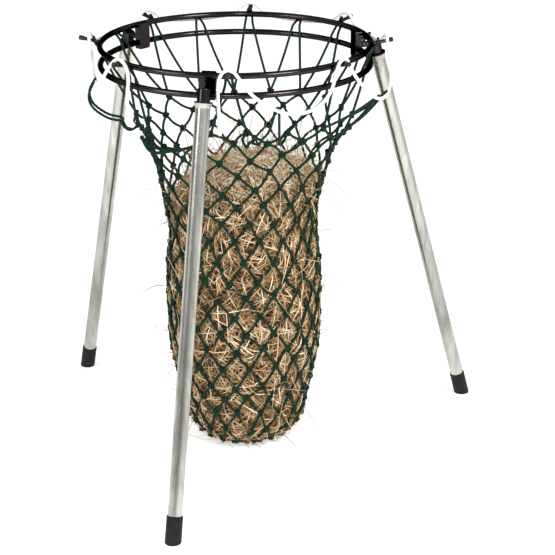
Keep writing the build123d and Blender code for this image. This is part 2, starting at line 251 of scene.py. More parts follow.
def node_points(name):
    """A CAD node's vertices at rest, one row each."""
    vertices = NODES[name].data.vertices
    points = np.empty(3 * len(vertices))
    vertices.foreach_get("co", points)
    return points.reshape(-1, 3)


def resample(points, step):
    """Points evenly spaced along a polyline, about this far apart."""
    runs = np.linalg.norm(np.diff(points, axis=0), axis=1)
    along = np.concatenate(([0], np.cumsum(runs)))
    count = max(3, int(round(along[-1] / step)) + 1)
    at = np.linspace(0, along[-1], count)
    return np.stack([np.interp(at, along, points[:, i]) for i in range(3)], axis=1)


def smooth_path(points):
    """A Catmull-Rom curve through the points."""
    p = np.vstack((2 * points[0] - points[1], points, 2 * points[-1] - points[-2]))
    t = np.linspace(0, 1, PATH_PARTS, endpoint=False)[:, None]
    pieces = []
    for a, b, c, d in zip(p, p[1:], p[2:], p[3:]):
        pieces.append(0.5 * (2 * b + (c - a) * t + (2 * a - 5 * b + 4 * c - d) * t**2
                             + (3 * b - a - 3 * c + d) * t**3))
    pieces.append(points[-1:])
    return np.vstack(pieces)


def across_from(direction):
    """A unit vector square to this one: level, unless it points nearly up or down."""
    other = (0.0, 0.0, 1.0) if abs(direction[2]) < 0.9 else (1.0, 0.0, 0.0)
    return unit(np.cross(direction, other))


def frames_along(path, closed=False):
    """Two unit vectors across the path at each point, turning as little as they can."""
    if closed:
        tangent = unit(np.roll(path, -1, axis=0) - np.roll(path, 1, axis=0))
    else:
        tangent = unit(np.gradient(path, axis=0))
    side = np.zeros_like(path)
    side[0] = across_from(tangent[0])
    for i in range(1, len(path)):
        kept = side[i - 1] - tangent[i] * np.dot(side[i - 1], tangent[i])
        side[i] = unit(kept)
    return side, np.cross(tangent, side)


class MeshStock:
    """Collects tubes and other shapes, then makes them one mesh object."""

    def __init__(self):
        self.points = []
        self.faces = []
        self.tones = []
        self.count = 0

    def add(self, points, faces, tone=0.5):
        """Takes in a shape whose faces count its own points from 0."""
        self.points.append(points)
        self.faces.extend(tuple(i + self.count for i in face) for face in faces)
        self.tones.append(np.full(len(points), tone))
        self.count += len(points)

    def tube(self, path, outline, closed=False):
        """A tube along the path. outline gives a row of radii for each ring number."""
        side, up = frames_along(path, closed)
        rings = len(path)
        radius = outline(np.arange(rings))
        sides = radius.shape[1]
        angle = np.arange(sides) * 2 * pi / sides
        points = (path[:, None, :]
                  + (radius * np.cos(angle))[..., None] * side[:, None, :]
                  + (radius * np.sin(angle))[..., None] * up[:, None, :])
        self.add(points.reshape(-1, 3), tube_faces(rings, sides, closed))

    def make(self, name, material, slot, smooth=True):
        """The mesh object, riding on the net, with a tone at each point for the material."""
        mesh = bpy.data.meshes.new(name)
        mesh.from_pydata(np.vstack(self.points).tolist(), [], self.faces)
        tone = mesh.attributes.new("tone", "FLOAT", "POINT")
        tone.data.foreach_set("value", np.concatenate(self.tones).astype(np.float32))
        mesh.polygons.foreach_set("use_smooth", [smooth] * len(mesh.polygons))
        mesh.materials.append(material)
        piece = bpy.data.objects.new(name, mesh)
        bpy.context.collection.objects.link(piece)
        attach(piece, "net")
        return piece


def even_tube(radius, sides):
    """An outline for MeshStock.tube: the same radius all along and all round."""
    return lambda rings: np.full((len(rings), sides), radius)


FACE_CACHE = {}


def tube_faces(rings, sides, closed):
    """The faces of a tube, with flat ends unless it is closed on itself."""
    key = (rings, sides, closed)
    if key not in FACE_CACHE:
        faces = []
        for i in range(rings if closed else rings - 1):
            low = i * sides
            high = (i + 1) % rings * sides
            for j in range(sides):
                k = (j + 1) % sides
                faces.append((low + j, low + k, high + k, high + j))
        if not closed:
            faces.append(tuple(range(sides))[::-1])
            faces.append(tuple((rings - 1) * sides + j for j in range(sides)))
        FACE_CACHE[key] = faces
    return FACE_CACHE[key]


# ------------ materials
class Wiring:
    """Short ways to wire the nodes of a shader tree."""

    def __init__(self, tree):
        self.tree = tree

    def node(self, kind, **values):
        """A new node, with its sockets or settings set by name."""
        node = self.tree.nodes.new("ShaderNode" + kind)
        for name, value in values.items():
            socket = node.inputs.get(name.replace("_", " "))
            if socket is None:
                setattr(node, name, value)
            else:
                socket.default_value = value
        return node

    def link(self, source, target):
        """Joins an output to an input."""
        self.tree.links.new(source, target)

    def ramp(self, fac, *stops):
        """A colour ramp with (place, colour) stops."""
        node = self.node("ValToRGB")
        elements = node.color_ramp.elements
        while len(elements) < len(stops):
            elements.new(0.5)
        for element, (place, colour) in zip(elements, stops):
            element.position = place
            element.color = (*colour, 1)
        self.link(fac, node.inputs["Fac"])
        return node.outputs["Color"]


class Look(Wiring):
    """A new procedural material."""

    def __init__(self, name, **values):
        self.material = bpy.data.materials.new(name)
        self.material.use_nodes = True
        super().__init__(self.material.node_tree)
        self.shader = self.tree.nodes["Principled BSDF"]
        for socket, value in values.items():
            self.shader.inputs[socket.replace("_", " ")].default_value = value

    def stretched(self, scale):
        """Object coordinates, stretched by this scale on each axis."""
        place = self.node("TexCoord")
        mapping = self.node("Mapping", Scale=scale)
        self.link(place.outputs["Object"], mapping.inputs["Vector"])
        return mapping.outputs["Vector"]

    def noise(self, scale, detail=3.0, roughness=0.5, stretch=(1, 1, 1)):
        """Noise through the object, scale cells to a metre."""
        node = self.node("TexNoise", Scale=scale, Detail=detail, Roughness=roughness)
        self.link(self.stretched(stretch), node.inputs["Vector"])
        return node.outputs["Fac"]

    def height(self):
        """Height over the floor, in metres."""
        split = self.node("SeparateXYZ")
        self.link(self.stretched((1, 1, 1)), split.inputs["Vector"])
        return split.outputs["Z"]

    def tone(self):
        """The tone that MeshStock gave each point."""
        node = self.node("Attribute", attribute_name="tone")
        return node.outputs["Fac"]

    def span(self, fac, low, high):
        """fac from 0..1 to low..high."""
        node = self.node("MapRange", To_Min=low, To_Max=high)
        self.link(fac, node.inputs["Value"])
        return node.outputs["Result"]

    def blend(self, kind, fac, a, b):
        """Two colours blended. The Mix node's colour sockets are 6, 7 and, coming out, 2."""
        node = self.node("Mix", data_type="RGBA", blend_type=kind)
        node.inputs["Factor"].default_value = fac
        self.link(a, node.inputs[6])
        self.link(b, node.inputs[7])
        return node.outputs[2]

    def bump(self, height, distance, strength=1.0):
        """Raises the surface by height, up to this distance."""
        node = self.node("Bump", Distance=distance, Strength=strength)
        self.link(height, node.inputs["Height"])
        self.link(node.outputs["Normal"], self.shader.inputs["Normal"])

    def colour(self, colour):
        """Sets the base colour."""
        self.link(colour, self.shader.inputs["Base Color"])

    def rough(self, fac, low, high):
        """Sets the roughness, low where fac is 0 and high where it is 1."""
        self.link(self.span(fac, low, high), self.shader.inputs["Roughness"])


def black_coating():
    """Thick gloss black coating with a faint orange peel."""
    look = Look("black_coating", Metallic=1.0, Specular_Tint=(0.25, 0.25, 0.25, 1))
    cloud = look.noise(9.0, 4.0, 0.6)
    look.colour(look.ramp(cloud, (0.3, (0.030, 0.025, 0.026)), (0.75, (0.055, 0.047, 0.049))))
    look.rough(look.noise(60.0, 3.0), 0.08, 0.20)
    look.bump(look.noise(420.0, 2.0), 0.00012)
    return look.material


def galvanised():
    """Galvanised tube with long grey streaks and a faint spangle, and a band of painted shade low
    on the leg.
    """
    look = Look("galvanised", Metallic=1.0)
    streak = look.noise(5.0, 5.0, 0.6, (14, 14, 0.9))
    spangle = look.node("TexVoronoi", Scale=55.0)
    look.link(look.stretched((1, 1, 0.45)), spangle.inputs["Vector"])
    streaked = look.ramp(streak, (0.25, (0.32, 0.32, 0.29)), (0.5, (0.49, 0.49, 0.45)),
                         (0.78, (0.68, 0.67, 0.62)))
    spangled = look.ramp(spangle.outputs["Color"], (0.0, (0.72, 0.72, 0.71)), (1.0, (1, 1, 1)))
    bright = look.blend("MULTIPLY", 0.7, streaked, spangled)
    # painted shade: a band darker low on the leg, darkest about 0.18 m up, none at the floor or
    # above 0.5 m
    painted_shade_band = look.ramp(look.height(), (0.06, (1, 1, 1)), (0.18, (0.66, 0.66, 0.65)),
                       (0.5, (1, 1, 1)))
    look.colour(look.blend("MULTIPLY", 1.0, bright, painted_shade_band))
    look.rough(streak, 0.32, 0.16)
    look.bump(look.noise(260.0, 3.0, 0.5, (1, 1, 0.3)), 0.00015)
    return look.material


def black_rubber():
    """Matte black rubber, dusty in its hollows."""
    look = Look("black_rubber", Specular_IOR_Level=0.15)
    dust = look.noise(45.0, 5.0, 0.65)
    look.colour(look.ramp(dust, (0.35, (0.008, 0.006, 0.007)), (0.8, (0.026, 0.021, 0.022))))
    look.rough(dust, 0.45, 0.75)
    look.bump(look.noise(600.0, 2.0), 0.0002)
    return look.material


def cap_plastic():
    """Soft black plastic."""
    look = Look("cap_plastic", Specular_IOR_Level=0.3)
    cloud = look.noise(150.0)
    look.colour(look.ramp(cloud, (0.3, (0.008, 0.008, 0.008)), (0.8, (0.02, 0.02, 0.02))))
    look.rough(cloud, 0.25, 0.45)
    look.bump(look.noise(900.0), 0.0001)
    return look.material


def green_rope():
    """Dark green twisted polypropylene, its fine fibre noise painted lighter where the bump rises
    and darker where it sinks: a painted highlight and shade.
    """
    look = Look("green_rope", Specular_IOR_Level=0.14)
    fibre = look.noise(700.0, 4.0, 0.7)
    patch = look.noise(45.0, 2.0)
    # painted highlight and shade: this noise also drives the bump, so raised fibre is painted
    # lighter and sunk fibre near black, round the rope's own dark green
    fibre_highlight_and_shade = look.ramp(fibre, (0.3, (0.0006, 0.005, 0.0020)), (0.5, (0.0012, 0.019, 0.0085)),
                       (0.78, (0.022, 0.125, 0.072)))
    patches = look.ramp(patch, (0.35, (0.45, 0.55, 0.55)), (0.65, (1, 1, 1)))
    look.colour(look.blend("MULTIPLY", 1.0, fibre_highlight_and_shade, patches))
    look.rough(fibre, 0.5, 0.75)
    look.bump(fibre, 0.0005, 0.7)
    return look.material


def white_cord():
    """White braided cord, its fine fibre noise painted darker where the bump sinks: painted shade
    in its fine grooves.
    """
    look = Look("white_cord", Sheen_Weight=0.3, Sheen_Roughness=0.5)
    fibre = look.noise(900.0, 3.0, 0.6)
    # painted shade: this noise also sinks the bump, so the darker tone lies in the fine grooves
    look.colour(look.ramp(fibre, (0.25, (0.55, 0.53, 0.49)), (0.6, (0.86, 0.85, 0.82))))
    look.rough(fibre, 0.6, 0.85)
    look.bump(fibre, 0.0004, 0.6)
    return look.material


def hay_straw():
    """Dry hay: each straw tan or brown by its tone, a random spread with painted shade on the
    deeper straws and painted light towards the heap's top, with fine streaks.
    """
    look = Look("hay_straw", Specular_IOR_Level=0.35)
    # the tone's dark end is painted shade on the deep straws, its light end partly painted light
    # towards the heap's top
    straws = look.ramp(look.tone(), (0.0, (0.022, 0.010, 0.003)), (0.25, (0.12, 0.056, 0.018)),
                       (0.5, (0.35, 0.195, 0.070)), (0.75, (0.82, 0.575, 0.30)),
                       (1.0, (1.0, 0.92, 0.72)))
    streak = look.ramp(look.noise(350.0, 3.0, 0.6), (0.3, (0.72, 0.70, 0.66)), (0.65, (1, 1, 1)))
    look.colour(look.blend("MULTIPLY", 0.8, straws, streak))
    look.rough(look.noise(200.0), 0.45, 0.7)
    look.bump(look.noise(900.0, 2.0), 0.0002)
    return look.material


def hay_painted_shade():
    """Painted shade for the inside of the hay seen between straws: a dark, tangled sheet."""
    look = Look("hay_painted_shade", Roughness=0.9)
    tangle = look.noise(130.0, 6.0, 0.75, (1, 1, 0.6))
    # painted shade: near black to dark brown, standing in for the shade inside the hay
    look.colour(look.ramp(tangle, (0.35, (0.006, 0.004, 0.001)), (0.5, (0.03, 0.016, 0.005)),
                          (0.7, (0.15, 0.085, 0.032))))
    look.bump(tangle, 0.004, 0.9)
    return look.material


def pale_floor():
    """The plain floor."""
    look = Look("pale_floor", Roughness=0.9, Specular_IOR_Level=0.1,
                Emission_Color=(1, 1, 1, 1), Emission_Strength=FLOOR_GLOW)
    grain = look.noise(3.0, 2.0)
    look.colour(look.ramp(grain, (0.0, (0.93, 0.93, 0.93)), (1.0, (0.95, 0.95, 0.95))))
    return look.material


BLACK = black_coating()
GALVANISED = galvanised()
RUBBER = black_rubber()
CAP = cap_plastic()
GREEN = green_rope()
WHITE = white_cord()
STRAW = hay_straw()
HAY_SHADE_SHEET = hay_painted_shade()

NODE_LOOKS = (
    ("leg_tube", GALVANISED),
    ("foot_cap", RUBBER),
    ("peg_cap", CAP),
)


def dress_nodes():
    """Gives the CAD nodes their looks. The net's and the hay's are replaced later."""
    for name, node in NODES.items():
        look = BLACK
        for start, other in NODE_LOOKS:
            if name.startswith(start):
                look = other
        for slot in node.material_slots:
            slot.material = look


dress_nodes()


# ------------ the cord
def spline_points(points):
    """Places along the smooth line of a NURBS spline with these control points."""
    curve = bpy.data.curves.new("drawstring_line", "CURVE")
    curve.dimensions = "3D"
    curve.resolution_u = 10
    spline = curve.splines.new("NURBS")
    spline.points.add(len(points) - 1)
    for point, place in zip(spline.points, points):
        point.co = (*place, 1)
    spline.order_u = 3
    spline.use_endpoint_u = True
    line = bpy.data.objects.new("drawstring_line", curve)
    bpy.context.collection.objects.link(line)
    mesh = bpy.data.meshes.new_from_object(line)
    found = np.array([v.co[:] for v in mesh.vertices])
    bpy.data.objects.remove(line)
    return found


def braided(rings):
    """The radius of a braided cord at each ring and angle."""
    angle = np.arange(BRAID_SIDES) * 2 * pi / BRAID_SIDES
    along = rings[:, None] * BRAID_STEP * 2 * pi / PLAIT_LENGTH
    around = PLAITS * angle[None, :]
    plaits = np.cos(around + along) * np.cos(around - along)
    return CORD_DIAMETER / 2 - BRAID_DEPTH * (0.5 - 0.5 * plaits)


def trefoil(size, segments, depth):
    """A closed trefoil knot's line, lying in XY. depth is how thick it is for its size."""
    t = np.linspace(0, 2 * pi, segments, endpoint=False)
    return size * np.stack((np.sin(t) + 2 * np.sin(2 * t), np.cos(t) - 2 * np.cos(2 * t),
                            -depth * np.sin(3 * t)), axis=1)


cord_line = resample(spline_points([polar(*place) for place in CORD_ROUTE]), BRAID_STEP)


def stopper_tail(rings):
    """The radius of the cord's tail at each ring and angle: a little rippled."""
    return TAIL_RADIUS + TAIL_RIPPLE * np.cos(rings)[:, None] * np.ones(STOPPER_SIDES)


def make_stopper(name, place, away):
    """An overhand knot at an end of the drawstring, with a short tail."""
    stock = MeshStock()
    across = across_from(away)
    third = np.cross(away, across)
    axes = np.stack((away * STOPPER_STRETCH, across * STOPPER_SQUEEZE, third))
    middle = place + away * STOPPER_OUT
    knot = trefoil(STOPPER_SIZE, STOPPER_SEGMENTS, STOPPER_DEPTH) @ axes + middle
    stock.tube(knot, even_tube(STOPPER_STRAND, STOPPER_SIDES), closed=True)
    tail = np.array([middle + away * out for out in TAIL_PLACES])
    stock.tube(resample(tail, TAIL_STEP), stopper_tail)
    piece = stock.make("drawstring_end_" + name, WHITE, "white_cord")
    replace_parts(piece, "drawstring_knot_" + name)
    return piece


def make_drawstring():
    """The braided drawstring and the stopper knots at its two ends."""
    stock = MeshStock()
    stock.tube(cord_line, braided)
    cord = stock.make("drawstring_braid", WHITE, "white_cord")
    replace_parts(cord, "drawstring")
    first, last = cord_line[0], cord_line[-1]
    ends = [
        make_stopper("front", first, unit(first - cord_line[END_POINTS])),
        make_stopper("left", last, unit(last - cord_line[-1 - END_POINTS])),
    ]


make_drawstring()


# ------------ shape of bag and mouth
BAG_X = (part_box("hay_fill")[0][0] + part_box("hay_fill")[1][0]) / 2
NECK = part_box("net_bag")[1][2]
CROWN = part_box("hay_fill")[1][2]
MOUTH_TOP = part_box("net_mouth")[1][2]


def axis_x(height):
    """How far along X the net's middle is at this height."""
    return np.interp(height, (NECK, MOUTH_TOP), (BAG_X, 0))


def side_profile(name):
    """Heights up a round CAD node, and its radius at each."""
    points = node_points(name)
    radius = np.hypot(points[:, 0] - axis_x(points[:, 2]), points[:, 1])
    levels = np.round(points[:, 2], 3)
    heights = np.unique(levels)
    return heights, np.array([radius[levels == h].max() for h in heights])


hay_heights, hay_radii = side_profile("hay_fill")
mouth_heights, mouth_radii = side_profile("net_mouth")
mouth_radii = np.maximum.accumulate(mouth_radii)  # leaves out the skin's inner face


def net_outline():
    """Radius and height of the rope's middle, up the outside from under the bag."""
    side = [(r + ROPE / 2, h) for h, r in zip(hay_heights, hay_radii) if h <= HAY_SHOULDER]
    under = hay_heights[0] - ROPE / 2
    low = [(BOTTOM_RING_RADIUS, under), (side[0][0], under)]
    mouth = [(r - ROPE / 2, h) for h, r in zip(mouth_heights, mouth_radii)]
    return np.array(low + side + mouth)


OUTLINE = net_outline()
OUTLINE_ALONG = np.concatenate(([0], np.cumsum(np.hypot(*np.diff(OUTLINE, axis=0).T))))


def outline_at(along):
    """Radius and height this far along the outline."""
    return (np.interp(along, OUTLINE_ALONG, OUTLINE[:, 0]),
            np.interp(along, OUTLINE_ALONG, OUTLINE[:, 1]))


def bar_length(height):
    """How long a bar is, knot to knot, at this height."""
    return np.interp(height, BAR_CHANGE, (BAR_IN_BAG, BAR_IN_MOUTH))


def row_places():
    """How far along the outline each row of knots is, from the top row down."""
    top = np.interp(TOP_ROW_HEIGHT, OUTLINE[:, 1], OUTLINE_ALONG)
    end = BOTTOM_ROW_RADIUS - BOTTOM_RING_RADIUS
    rows = [top]
    while True:
        radius, height = outline_at(rows[-1])
        half_width = pi * radius / MESHES_ROUND
        bar = bar_length(height)
        step = np.sqrt(max(bar**2 - half_width**2, (LEAST_STEP * bar)**2))
        if rows[-1] - step < end:
            break
        rows.append(rows[-1] - step)
    return rows


ROWS = row_places()


# ------------ the net
def knot_places():
    """The knots as first laid out: an array of rows by meshes by XYZ."""
    wander = np.random.default_rng(KNOT_SEED)
    shifts = wander.normal(0, 1, (len(ROWS), MESHES_ROUND, 2))
    shifts = (shifts + np.roll(shifts, 1, axis=1) + np.roll(shifts, 1, axis=0)) / 3
    places = np.zeros((len(ROWS), MESHES_ROUND, 3))
    for row, along in enumerate(ROWS):
        for mesh in range(MESHES_ROUND):
            turn = (mesh + 0.5 + 0.5 * (row % 2)) * 360 / MESHES_ROUND + NET_TURN
            lift = np.interp(outline_at(along)[1], (TILT_FROM, TOP_ROW_HEIGHT), (0, 1))
            lift *= -TOP_ROW_TILT * sin(radians(turn))
            radius, height = outline_at(along + lift + KNOT_WANDER * shifts[row, mesh, 0])
            place = polar(turn + KNOT_TURN * shifts[row, mesh, 1], radius, height)
            places[row, mesh] = place + (axis_x(height), 0, 0)
    return places


def bar_ends():
    """Pairs of (row, mesh) joined by a bar."""
    pairs = []
    for row in range(len(ROWS) - 1):
        for mesh in range(MESHES_ROUND):
            for turn in (0, 1):
                below = (mesh + turn - 1 + row % 2) % MESHES_ROUND
                pairs.append(((row, mesh), (row + 1, below)))
    return pairs


def cord_place(azimuth):
    """The place on the drawstring's line nearest this azimuth."""
    angles = np.degrees(np.arctan2(cord_line[:, 1], cord_line[:, 0]))
    return cord_line[np.argmin(np.abs((angles - azimuth + 180) % 360 - 180))]


def beside(azimuth, over, radius, height):
    """The points each side of a loop's hold, by its OVER_ values."""
    turn, out, up = over
    return [polar(azimuth + side * turn, radius + out, height + up) for side in (-1, 1)]


def dropped_points(azimuth):
    """The fixed points of a loop that is off the pegs, this far round from the first one."""
    turn, radius, height = DROPPED
    apex = polar(turn + azimuth, radius, height - DROP_STEP * azimuth)
    return [apex + DROP_BEND[0], apex, apex + DROP_BEND[1]]


def outside_points(apex):
    """The fixed points of the slack loop that goes over the cord and hangs outside."""
    aside, out, up = OUTSIDE_BACK
    down = [polar(turn + OUTSIDE_DOWN, radius, height) for turn, radius, height in OUTSIDE]
    back = [polar(turn + aside, radius + out, height + up) for turn, radius, height in OUTSIDE]
    return back[::-1] + [apex] + down


def hold_points(kind, azimuth):
    """The fixed points of a loop: from inside the hoops, over its hold and back in."""
    if kind == "dropped":
        return dropped_points(azimuth)
    if kind == "peg":
        apex = polar(azimuth, PEG_OUT, PEG_TOP + ROPE / 2)
        over = beside(azimuth, OVER_PEG, HOOP_RADIUS, HOOP_TOP)
    else:
        near = cord_place(azimuth)
        apex = near + (0, 0, (CORD_DIAMETER + ROPE) / 2)
        if kind == "outside":
            return outside_points(apex)
        over = beside(azimuth, OVER_CORD, hypot(near[0], near[1]), near[2])
        if near[2] < HOOP_TOP - HOOP_GAP:
            return [over[0], apex, over[1]]
    gate = (LOOP_SPREAD, -GATE_IN, 0)
    inside = beside(azimuth, gate, HOOP_RADIUS, HOOP_TOP - HOOP_GAP / 2)
    return [inside[0], over[0], apex, over[1], inside[1]]


class Web:
    """Points, some of them fixed, joined by links that can't stretch."""

    def __init__(self, points, fixed):
        self.points = [np.array(point, float) for point in points]
        self.fixed = list(fixed)
        self.links = []
        self.lengths = []

    def link(self, a, b, length):
        """Joins points number a and b by a link of this length."""
        self.links.append((a, b))
        self.lengths.append(length)

    def chain(self, start, end_place, parts, length):
        """A chain from point number start to a new fixed point. Returns its point numbers."""
        numbers = [start]
        for part in range(1, parts + 1):
            share = part / parts
            self.points.append(self.points[start] * (1 - share) + end_place * share)
            self.fixed.append(part == parts)
            numbers.append(len(self.points) - 1)
            self.link(numbers[-2], numbers[-1], length / parts)
        return numbers

    def hang(self, hay_count):
        """Lets it hang and returns the points. The first hay_count of them stay off the hay."""
        points = np.array(self.points)
        links = np.array(self.links)
        lengths = np.array(self.lengths)
        free = ~np.array(self.fixed)
        a, b = links.T
        share = 1.0 / np.maximum(np.bincount(links.ravel(), minlength=len(points)), 1)
        for step in range(HANG_STEPS):
            points[free, 2] -= HANG_FALL * (1 - step / HANG_STEPS)
            apart = points[b] - points[a]
            length = np.linalg.norm(apart, axis=1)
            long = np.maximum(length - lengths, 0)
            short = np.minimum(length - HANG_SHORTEST * lengths, 0)
            push = apart / length[:, None] * (long + HANG_PUSH * short)[:, None]
            move = np.zeros_like(points)
            np.add.at(move, a, push)
            np.add.at(move, b, -push)
            points[free] += (move * share[:, None] * HANG_EASE)[free]
            points[:hay_count] = outside_hay(points[:hay_count])
        return points


def outside_hay(points):
    """The points, those inside the hay moved out to the rope's place on it."""
    flat = points[:, :2] - (BAG_X, 0)
    radius = np.linalg.norm(flat, axis=1)
    least = np.interp(points[:, 2], hay_heights, hay_radii) + ROPE / 2
    grow = np.where(points[:, 2] < HAY_SHOULDER, np.maximum(least / radius, 1), 1)
    moved = points.copy()
    moved[:, :2] = flat * grow[:, None] + (BAG_X, 0)
    return moved


def hang_net():
    """The knots of the net once hung, and the line of each top loop."""
    places = knot_places()
    index = np.arange(places.size // 3).reshape(places.shape[:2])
    count = index.size
    web = Web(places.reshape(-1, 3), places.reshape(-1, 3)[:, 2] < HELD_BELOW)
    for high, low in bar_ends():
        length = np.linalg.norm(places[high] - places[low])
        web.link(index[high], index[low], length * BAR_PULL)
    loops = []
    for number, (kind, azimuth, slack) in enumerate(LOOP_HOLDS):
        held = np.array(hold_points(kind, azimuth))
        strands = []
        for mesh, end in ((number - 1, held[0]), (number, held[-1])):
            start = index[0, mesh % MESHES_ROUND]
            length = slack * np.linalg.norm(end - web.points[start])
            strands.append(web.chain(start, end, LOOP_PARTS, length))
        loops.append((strands[0], held[1:-1], strands[1][::-1]))
    points = web.hang(count)
    lines = [np.vstack((points[rise], held, points[fall])) for rise, held, fall in loops]
    return points[:count].reshape(places.shape), lines


def twisted(rings):
    """The radius of a three-strand rope at each ring and angle."""
    angle = np.arange(ROPE_SIDES) * 2 * pi / ROPE_SIDES
    turn = rings[:, None] * ROPE_STEP * 2 * pi / LAY_LENGTH
    strands = np.cos(STRANDS * (angle[None, :] - turn))
    return ROPE / 2 * (1 - STRAND_DEPTH * (0.5 - 0.5 * strands))


knots, loop_lines = hang_net()
KNOT_SHAPE = trefoil(KNOT_SIZE, KNOT_SEGMENTS, KNOT_DEPTH)


def add_knot(stock, place, outward, turn):
    """One net knot, flat against the net's surface."""
    across = unit(np.cross((0.0, 0.0, 1.0), outward))
    up = np.cross(outward, across)
    axes = np.stack((across * cos(turn) + up * sin(turn),
                     up * cos(turn) - across * sin(turn), outward))
    line = KNOT_SHAPE @ axes + place
    stock.tube(line, even_tube(ROPE / 2 * KNOT_ROPE, KNOT_SIDES), closed=True)


def outward_of(place):
    """The level direction out from the net's axis."""
    flat = place - (axis_x(place[2]), 0, place[2])
    return unit(flat)


def add_bars(bag, mouth, random):
    """Every bar between two knots, in the bag's stock or the mouth's."""
    for (row, mesh), (low_row, low_mesh) in bar_ends():
        start, end = knots[row, mesh], knots[low_row, low_mesh]
        middle = (start + end) / 2
        slack = BAG_SLACK if middle[2] < NECK else MOUTH_SLACK
        sway = random.normal(0, slack, 3) + outward_of(middle) * BAR_BULGE
        path = resample(smooth_path(np.array([start, middle + sway, end])), ROPE_STEP)
        (bag if middle[2] < NECK else mouth).tube(path, twisted)


def add_bottom(bag):
    """The ring of rope under the bag, and two ends from each of the lowest knots to it."""
    under = hay_heights[0] - ROPE / 2
    middle = (BAG_X, 0, 0)
    ring = np.array([polar(azimuth, BOTTOM_RING_RADIUS, under) + middle
                     for azimuth in range(0, 360, BOTTOM_RING_STEP)])
    bag.tube(ring, even_tube(ROPE / 2, BOTTOM_RING_SIDES), closed=True)
    for place in knots[-1]:
        for turn in (-BOTTOM_END_TURN, BOTTOM_END_TURN):
            azimuth = degrees(atan2(place[1], place[0] - BAG_X)) + turn
            end = polar(azimuth, BOTTOM_RING_RADIUS, under) + middle
            bag.tube(resample(np.array([place, (place + end) / 2, end]), ROPE_STEP), twisted)


def make_net():
    """Every bar, loop and knot of the net, in a bag part and a mouth part."""
    bag, mouth = MeshStock(), MeshStock()
    bag_knots, mouth_knots = MeshStock(), MeshStock()
    random = np.random.default_rng(ROPE_SEED)
    add_bars(bag, mouth, random)
    for row in knots:
        for place in row:
            stock = bag_knots if place[2] < NECK else mouth_knots
            add_knot(stock, place, outward_of(place), random.uniform(0, 2 * pi))
    loops = MeshStock()
    for line in loop_lines:
        loops.tube(resample(smooth_path(line), ROPE_STEP), twisted)
    add_bottom(bag)
    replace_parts(bag.make("net_bag_ropes", GREEN, "green_net_rope"), "net_bag")
    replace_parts(mouth.make("net_mouth_ropes", GREEN, "green_net_rope"), "net_mouth")
    bag_knots.make("net_bag_knots", GREEN, "green_net_rope")
    mouth_knots.make("net_mouth_knots", GREEN, "green_net_rope")
    loops.make("net_top_loops", GREEN, "green_net_rope")


make_net()


# ------------ hay
def rope_tree():
    """Six places along each bar, to find how far a place is from the ropes."""
    places = []
    for (row, mesh), (low_row, low_mesh) in bar_ends():
        for share in np.linspace(0, 1, 6):
            places.append(knots[row, mesh] * (1 - share) + knots[low_row, low_mesh] * share)
    tree = kdtree.KDTree(len(places))
    for number, place in enumerate(places):
        tree.insert(place, number)
    tree.balance()
    return tree


ROPES = rope_tree()


def swell(place):
    """How far out the hay stands here: pressed in under a rope, full between ropes."""
    gap = ROPES.find(place)[2]
    return (HAY_PILLOW + HAY_PINCH) * min(gap / HAY_GAP, 1.0) ** HAY_ROUNDING - HAY_PINCH


def hay_surface():
    """A grid of places on the hay's smooth shape, and the way out at each."""
    side = list(zip(hay_radii, hay_heights))
    outline = np.array([(0.0, hay_heights[0]), *side, (0.0, CROWN)])
    along = np.concatenate(([0], np.cumsum(np.hypot(*np.diff(outline, axis=0).T))))
    at = np.linspace(0, along[-1], HAY_RISE)
    radius = np.interp(at, along, outline[:, 0])
    height = np.interp(at, along, outline[:, 1])
    slope_r = np.gradient(radius)
    slope_h = np.gradient(height)
    places = np.zeros((HAY_RISE, HAY_ROUND, 3))
    outward = np.zeros_like(places)
    for i in range(HAY_RISE):
        lean = np.interp(height[i], (HAY_SHOULDER - LEAN_RISE, HAY_SHOULDER), (0, HAY_LEAN))
        lump, closeness = HEAP_LUMPS if height[i] > HAY_SHOULDER else BAG_LUMPS
        for j in range(HAY_ROUND):
            azimuth = 360 * j / HAY_ROUND
            place = polar(azimuth, radius[i], height[i])
            place += (BAG_X, 0, lean * place[0])
            out = unit(polar(azimuth, slope_h[i], -slope_r[i]))
            places[i, j] = place + out * (lump * noise.noise(Vector(place * closeness)))
            outward[i, j] = out
    return places, outward


hay_places, hay_outward = hay_surface()


def make_hay_core():
    """The hay's body, under the loose straws, coloured as painted shade."""
    stock = MeshStock()
    depth = np.array([[swell(place) for place in row] for row in hay_places]) - CORE_DEPTH
    rings = (hay_places + hay_outward * depth[..., None])[1:-1]
    stock.add(rings.reshape(-1, 3), tube_faces(len(rings), HAY_ROUND, False))
    core = stock.make("hay_core", HAY_SHADE_SHEET, "hay")
    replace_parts(core, "hay_fill")


STRAW_STEPS = np.linspace(0, 1, 5)
STRAW_TAPER = np.array((0.7, 1.0, 1.0, 0.85, 0.35))  # its thickness at each step
LIFT_POWER = 1.6        # a straw lifts mostly towards its end


def straw_line(place, along, outward, length, behind, bend, lift):
    """The middle line of a straw that follows the round of the bag, bent a little."""
    across = unit(np.cross(along, outward))
    t = STRAW_STEPS[:, None]
    ahead = length * (t - behind)
    level = 1 - along[2] ** 2
    return (place + along * ahead + across * (bend * length * t**2)
            + outward * (lift * length * t**LIFT_POWER - level * ahead**2 / (2 * BAG_RADIUS)))


def add_straw(stock, line, outward, width, tone):
    """One flattened straw: three-sided and thinner at its ends."""
    across = unit(np.cross(line[-1] - line[0], outward))
    corners = (across, -0.5 * across + 0.6 * outward, -0.5 * across - 0.6 * outward)
    half = width / 2 * STRAW_TAPER[:, None]
    points = np.stack([line + half * corner for corner in corners], axis=1)
    stock.add(points.reshape(-1, 3), tube_faces(len(line), 3, False), tone)


def tucked(line, outward):
    """The line, following the swells of the hay and going under its ropes."""
    return line + outward * np.array([swell(point) for point in line])[:, None]


